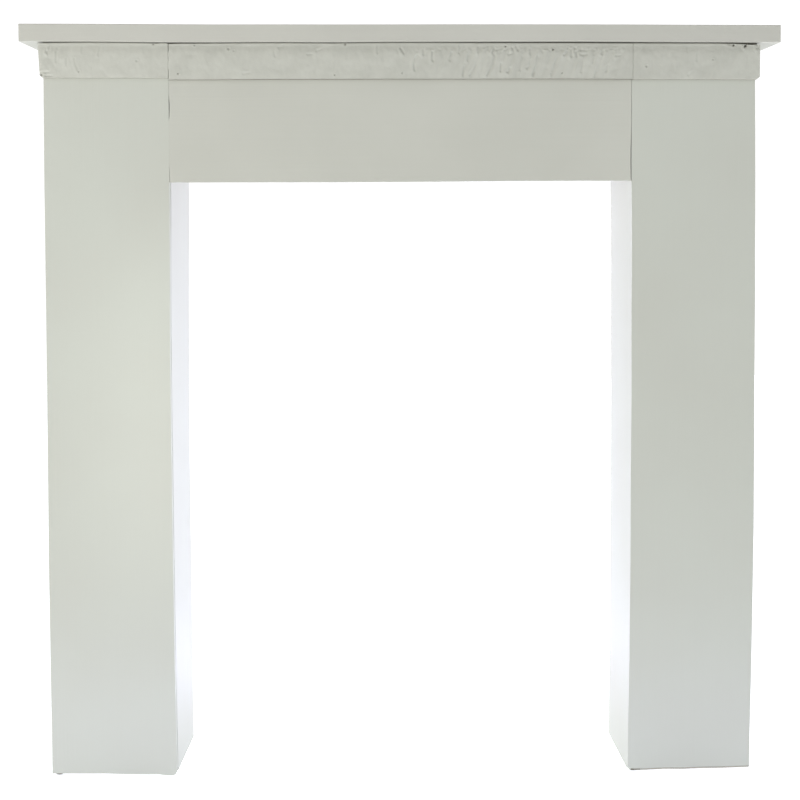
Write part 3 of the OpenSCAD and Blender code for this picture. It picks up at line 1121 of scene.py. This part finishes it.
# Size of the corner cut off each cap, and how far in the left one's end leans: at the top, and
# how much more at the foot, in mm
LEFT_CORNER, RIGHT_CORNER = 5 * MM, 4 * MM
LEAN_AT_TOP, LEAN_GAIN = -1.1, 2.8
print(f"the frieze's joints gape up to {max(width for _, width in LEFT_FRIEZE_SEAM)} mm")


# %% Trimming the ends
def trim_left_cap(shape):
    """Cut its lower outer corner off, lean its end in, and follow the leg."""
    low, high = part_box("frieze_cap_left")
    cut_corner(shape, (low.x, 0.0, low.z + LEFT_CORNER), (-1.0, 0.0, -1.0))
    for vertex in shape.verts:
        lean = LEAN_AT_TOP + LEAN_GAIN * (high.z - vertex.co.z) / (high.z - low.z)
        follow = between(LEFT_INNER_BOW, vertex.co.z / MM)
        vertex.co.x += (nearness(vertex.co.x, low.x, END_REACH) * lean
                        + nearness(vertex.co.x, high.x, END_REACH) * follow) * MM


def trim_right_cap(shape):
    """Cut its lower outer corner off and follow the leg."""
    low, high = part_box("frieze_cap_right")
    cut_corner(shape, (high.x, 0.0, low.z + RIGHT_CORNER), (0.7, 0.0, -1.0))
    for vertex in shape.verts:
        vertex.co.x += (nearness(vertex.co.x, low.x, END_REACH) * RIGHT_FRIEZE_SHIFT
                        + nearness(vertex.co.x, high.x, END_REACH) * RIGHT_END_SHIFT) * MM


def trim_centre(shape):
    """Open or close the seams at its ends."""
    low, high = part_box("frieze_centre")
    for vertex in shape.verts:
        height = vertex.co.z / MM
        left_shift = between(LEFT_FRIEZE_SEAM, height) - CAD_SEAM + between(LEFT_INNER_BOW, height)
        right_shift = CAD_SEAM - between(RIGHT_FRIEZE_SEAM, height) + RIGHT_FRIEZE_SHIFT
        vertex.co.x += (nearness(vertex.co.x, low.x, END_REACH) * left_shift
                        + nearness(vertex.co.x, high.x, END_REACH) * right_shift) * MM


print(f"a change at a strip's end fades out over {END_REACH / MM:.0f} mm")

# %% Frieze
# A little dust on the strips' sides, painted shade low on their sides near the foot, and how high
SIDE_DUST, LOW_SIDE_SHADE, LOW_SIDE = 0.1, 0.45, 6 * MM
UNDERSIDE = 1
LEAST_DEPTH = 0.02


# The material given as dust is painted shade, for the underside along the foot
def frieze_piece(node, name, trim, foot_rise, dust):
    """A finished strip of the frieze, after trim has changed its outline."""
    low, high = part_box(node)
    shape = frieze_strip(low, high)
    trim(shape)
    dust_and_shade = shape.verts.layers.float.new("dust_and_shade")
    for vertex in shape.verts:
        x, z = vertex.co.x / MM, vertex.co.z / MM
        if vertex.co.y < low.y + 1 * MM:
            depth = relief_depth(x, z)
            stroke, hole = carved_depth(x, z)
            vertex[dust_and_shade] = frieze_dust_and_shade(x, z, depth, stroke, hole)
            vertex.co.y += max(LEAST_DEPTH, depth + stroke + hole) * MM
        else:
            vertex[dust_and_shade] = LOW_SIDE_SHADE if vertex.co.z < low.z + LOW_SIDE else SIDE_DUST
        vertex.co.z += between(foot_rise, x) * nearness(vertex.co.z, low.z, FOOT_REACH) * MM
        rise = CAD_CRACK - between(SHELF_FOOT_DIP, x) - between(CRACK, x)
        vertex.co.z += rise * nearness(z, high.z / MM, TOP_REACH / MM) * MM
    for face in shape.faces:
        face.smooth = True
        if face.normal.z < -0.9 and face.calc_center_median().z < low.z + 4 * MM:
            face.material_index = UNDERSIDE
    piece = add_piece(shape, name, node, "frieze_paint", frieze_paint, dust)
    piece.data.set_sharp_from_angle(angle=math.radians(50))
    return piece


# %% The three strips
frieze_piece("frieze_cap_left", "clogged_frieze_left_cap", trim_left_cap, LEFT_CAP_FOOT,
             faint_shade)
frieze_piece("frieze_centre", "clogged_frieze_centre", trim_centre, CENTRE_FOOT, ledge_shade)
frieze_piece("frieze_cap_right", "clogged_frieze_right_cap", trim_right_cap, RIGHT_CAP_FOOT,
             faint_shade)

# %% [markdown]
# ## Glides
#
# Nail-on glides with pressed steel heads keep the legs off the floor. They are dull and dark from
# years of damp, with a rim where the head was pressed. A squashed sphere would have no rim, so
# each is spun from half of its section.

# %% Tarnished steel
# To the eye: a dark, uneven metal that gleams only in spots. Half of it is oxide, which doesn't
# reflect as metal does, so it is half metallic.
TARNISH_WIDTH = 4 * MM
tarnished_steel, tree = new_material("tarnished pressed steel")
place = add_node(tree, "ShaderNodeTexCoord").outputs["Object"]
tarnish = add_node(tree, "ShaderNodeTexNoise",
                   {"Vector": place, "Scale": 1 / TARNISH_WIDTH, "Detail": 4.0})
tone = add_node(tree, "ShaderNodeMix",
                {"Factor": tarnish.outputs["Fac"], "A": linear_colour("#77726A"),
                 "B": linear_colour("#4A453F")}, data_type="RGBA")
dulled = add_node(tree, "ShaderNodeMapRange",
                  {"Value": tarnish.outputs["Fac"], "To Min": 0.35, "To Max": 0.75})
surface = add_node(tree, "ShaderNodeBsdfPrincipled",
                   {"Base Color": tone.outputs["Result"], "Metallic": 0.5,
                    "Roughness": dulled.outputs["Result"]})
add_node(tree, "ShaderNodeOutputMaterial", {"Surface": surface.outputs["BSDF"]})
print("steel ready:", tarnished_steel.name)


# %% Glides
def glide_piece(node):
    """A domed glide head with a rolled rim, spun on its own axis."""
    low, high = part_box(node)
    middle = (low + high) / 2
    radius, height = (high.x - low.x) / 2, high.z - low.z
    shape = bmesh.new()
    section = [(0.0, high.z), (radius, high.z), (radius, low.z + 0.72 * height),
               (0.93 * radius, low.z + 0.62 * height), (0.8 * radius, low.z + 0.40 * height),
               (0.6 * radius, low.z + 0.2 * height), (0.33 * radius, low.z + 0.06 * height),
               (0.0, low.z)]
    verts = [shape.verts.new((middle.x + r, middle.y, z)) for r, z in section]
    edges = [shape.edges.new(pair) for pair in zip(verts, verts[1:])]
    bmesh.ops.spin(shape, geom=verts + edges, cent=middle, axis=(0.0, 0.0, 1.0),
                   angle=2 * math.pi, steps=32, use_merge=True)
    bmesh.ops.remove_doubles(shape, verts=shape.verts[:], dist=0.01 * MM)
    bmesh.ops.recalc_face_normals(shape, faces=shape.faces[:])
    for face in shape.faces:
        face.smooth = True
    piece = add_piece(shape, "steel_" + node, node, "glide_steel", tarnished_steel)
    piece.data.set_sharp_from_angle(angle=math.radians(50))
    return piece


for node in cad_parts:
    if node.endswith("_glide"):
        glide_piece(node)
